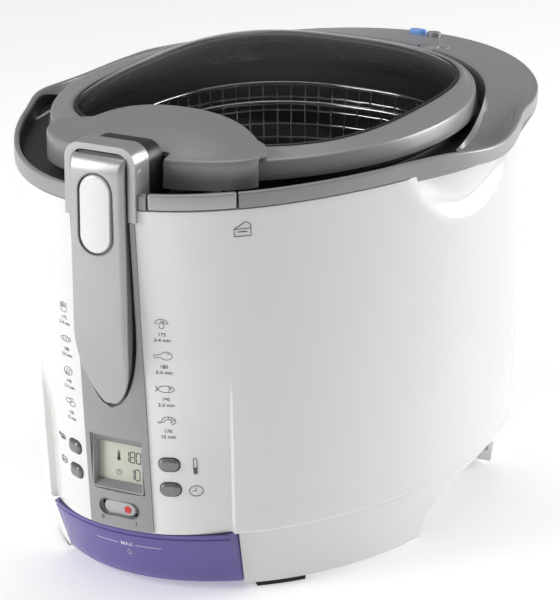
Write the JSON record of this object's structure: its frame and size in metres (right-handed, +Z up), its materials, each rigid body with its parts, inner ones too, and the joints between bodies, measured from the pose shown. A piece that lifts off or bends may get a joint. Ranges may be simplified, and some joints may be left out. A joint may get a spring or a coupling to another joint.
{
  "type": "deep fryer",
  "caption": "Oval household deep fryer with a hinged window lid, folding handle, wire basket, display panel and pull-out water tray.",
  "frame": {"origin": "centre of the footprint, on the surface that the rubber feet stand on", "axes": "+Z up, -Y out of the front with the handle and display, +X to the right seen from the front"},
  "size_m": [0.2916, 0.4006, 0.2575],
  "materials": {
    "white_body": "glossy",
    "rubber": "matte",
    "steel": "brushed",
    "grey_trim": "satin",
    "silver_trim": "satin metallic",
    "pale_plastic": "glossy",
    "blue_lamp": "translucent",
    "black_plastic": "satin",
    "pot_coating": "non-stick coating",
    "aluminium": "plain",
    "display_glass": "clear",
    "circuit_board": "solder mask",
    "window": "clear, polished",
    "chrome_wire": "polished wire",
    "violet_tray": "translucent"
  },
  "bodies": {
    "base": {"base_skirt": "white_body", "foot_front_right": "rubber", "foot_rear_right": "rubber", "foot_rear_left": "rubber", "foot_front_left": "rubber", "base_screw_1": "steel", "base_screw_2": "steel", "base_screw_3": "steel", "base_screw_4": "steel", "outer_shell": "white_body", "collar": "grey_trim", "ready_lamp": "blue_lamp", "odour_filter": "black_plastic", "inner_pot": "pot_coating", "heat_shield": "aluminium", "heating_element": "steel", "thermostat": "aluminium", "thermal_cutout": "black_plastic", "steam_duct": "pale_plastic", "mains_gland": "black_plastic", "control_strip": "grey_trim", "display_bezel": "grey_trim", "display_window": "display_glass", "display_module": "black_plastic", "control_board": "circuit_board", "switch_block": "black_plastic", "handle_bracket": "silver_trim", "handle_pin": "steel", "hinge_pin_left": "steel", "hinge_pin_right": "steel", "basket_guide": "steel", "tray_runner_left": "pale_plastic", "tray_runner_right": "pale_plastic"},
    "lid": {"lid_ring": "grey_trim", "lid_window": "window", "lid_liner": "steel", "lid_seal": "rubber", "lid_cover": "grey_trim", "lid_hook": "steel", "hinge_arm_left": "grey_trim", "hinge_arm_right": "grey_trim"},
    "handle": {"handle_cover": "silver_trim", "handle_core": "grey_trim"},
    "handle_release": {"handle_release": "pale_plastic"},
    "basket": {"basket": "chrome_wire", "basket_hanger": "steel"},
    "water_tray": {"water_tray": "violet_tray"},
    "lid_release": {"lid_release_bar": "silver_trim", "latch_arm": "steel"},
    "power_slider": {"power_slider": "silver_trim"},
    "button_filter": {"button_filter": "silver_trim"},
    "button_menu": {"button_menu": "silver_trim"},
    "button_temperature": {"button_temperature": "silver_trim"},
    "button_timer": {"button_timer": "silver_trim"},
    "filter_reset": {"filter_reset_button": "grey_trim"}
  },
  "joints": [
    {"name": "lid_hinge", "type": "hinge", "parent": "base", "child": "lid", "pos_m": [0, 0.134, 0.2315], "axis": [-1, 0, 0], "range_deg": [0, 80]},
    {"name": "handle_fold", "type": "hinge", "parent": "base", "child": "handle", "pos_m": [0, -0.1896, 0.2412], "axis": [-1, 0, 0], "range_deg": [0, 90]},
    {"name": "handle_release_press", "type": "slide", "parent": "handle", "child": "handle_release", "axis": [0, 1, 0], "range_m": [0, 0.0012], "stiffness_N_per_m": 900},
    {"name": "basket_lift", "type": "slide", "parent": "base", "child": "basket", "axis": [0, 0, 1], "range_m": [-0.045, 0]},
    {"name": "tray_slide", "type": "slide", "parent": "base", "child": "water_tray", "axis": [0, -1, 0], "range_m": [0, 0.1]},
    {"name": "lid_release_press", "type": "slide", "parent": "base", "child": "lid_release", "axis": [-0.4741, 0.8805, 0], "range_m": [0, 0.0025], "stiffness_N_per_m": 800},
    {"name": "power_slide", "type": "slide", "parent": "base", "child": "power_slider", "axis": [1, 0, 0], "range_m": [-0.0018, 0.0018]},
    {"name": "filter_button_press", "type": "slide", "parent": "base", "child": "button_filter", "axis": [0, 1, 0], "range_m": [0, 0.0015], "stiffness_N_per_m": 800},
    {"name": "menu_button_press", "type": "slide", "parent": "base", "child": "button_menu", "axis": [0, 1, 0], "range_m": [0, 0.0015], "stiffness_N_per_m": 800},
    {"name": "temperature_button_press", "type": "slide", "parent": "base", "child": "button_temperature", "axis": [0, 1, 0], "range_m": [0, 0.0015], "stiffness_N_per_m": 800},
    {"name": "timer_button_press", "type": "slide", "parent": "base", "child": "button_timer", "axis": [0, 1, 0], "range_m": [0, 0.0015], "stiffness_N_per_m": 800},
    {"name": "filter_reset_press", "type": "slide", "parent": "base", "child": "filter_reset", "axis": [0, 0, -1], "range_m": [0, 0.001], "stiffness_N_per_m": 800}
  ]
}
